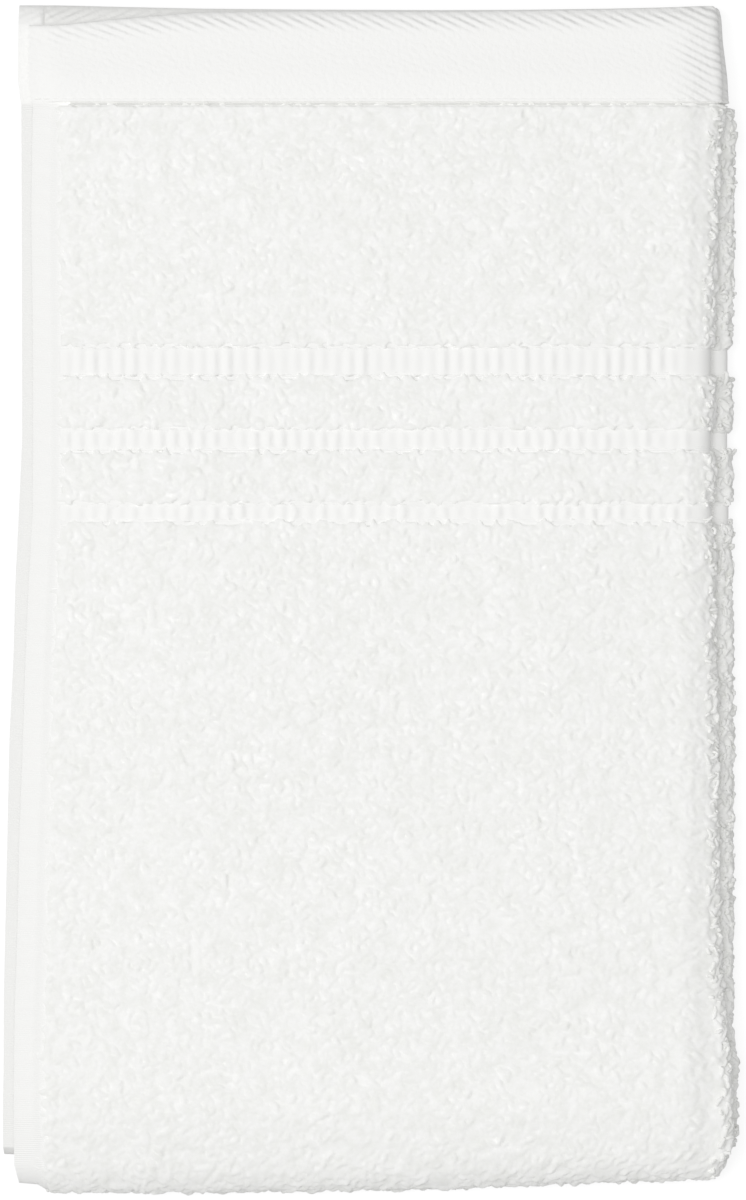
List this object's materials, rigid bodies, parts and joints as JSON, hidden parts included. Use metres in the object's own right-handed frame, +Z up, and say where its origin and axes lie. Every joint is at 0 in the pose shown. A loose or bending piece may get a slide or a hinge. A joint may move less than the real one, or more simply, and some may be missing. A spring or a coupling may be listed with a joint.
{
  "type": "folded hand towel",
  "caption": "White cotton terry hand towel folded lengthwise and crosswise, lying flat, with hemmed ends, woven selvedges and a border of flat stripes.",
  "frame": {"origin": "under the middle of the folded towel, on the surface it lies on", "axes": "+Z up through the layers, +Y towards the hemmed ends and away from the crosswise fold, +X towards the lengthwise fold"},
  "size_m": [0.21, 0.3406, 0.019],
  "materials": {
    "terry": "white cotton terry cloth, looped pile on a woven ground, matt"
  },
  "bodies": {
    "root": {"towel": "terry"}
  },
  "joints": []
}
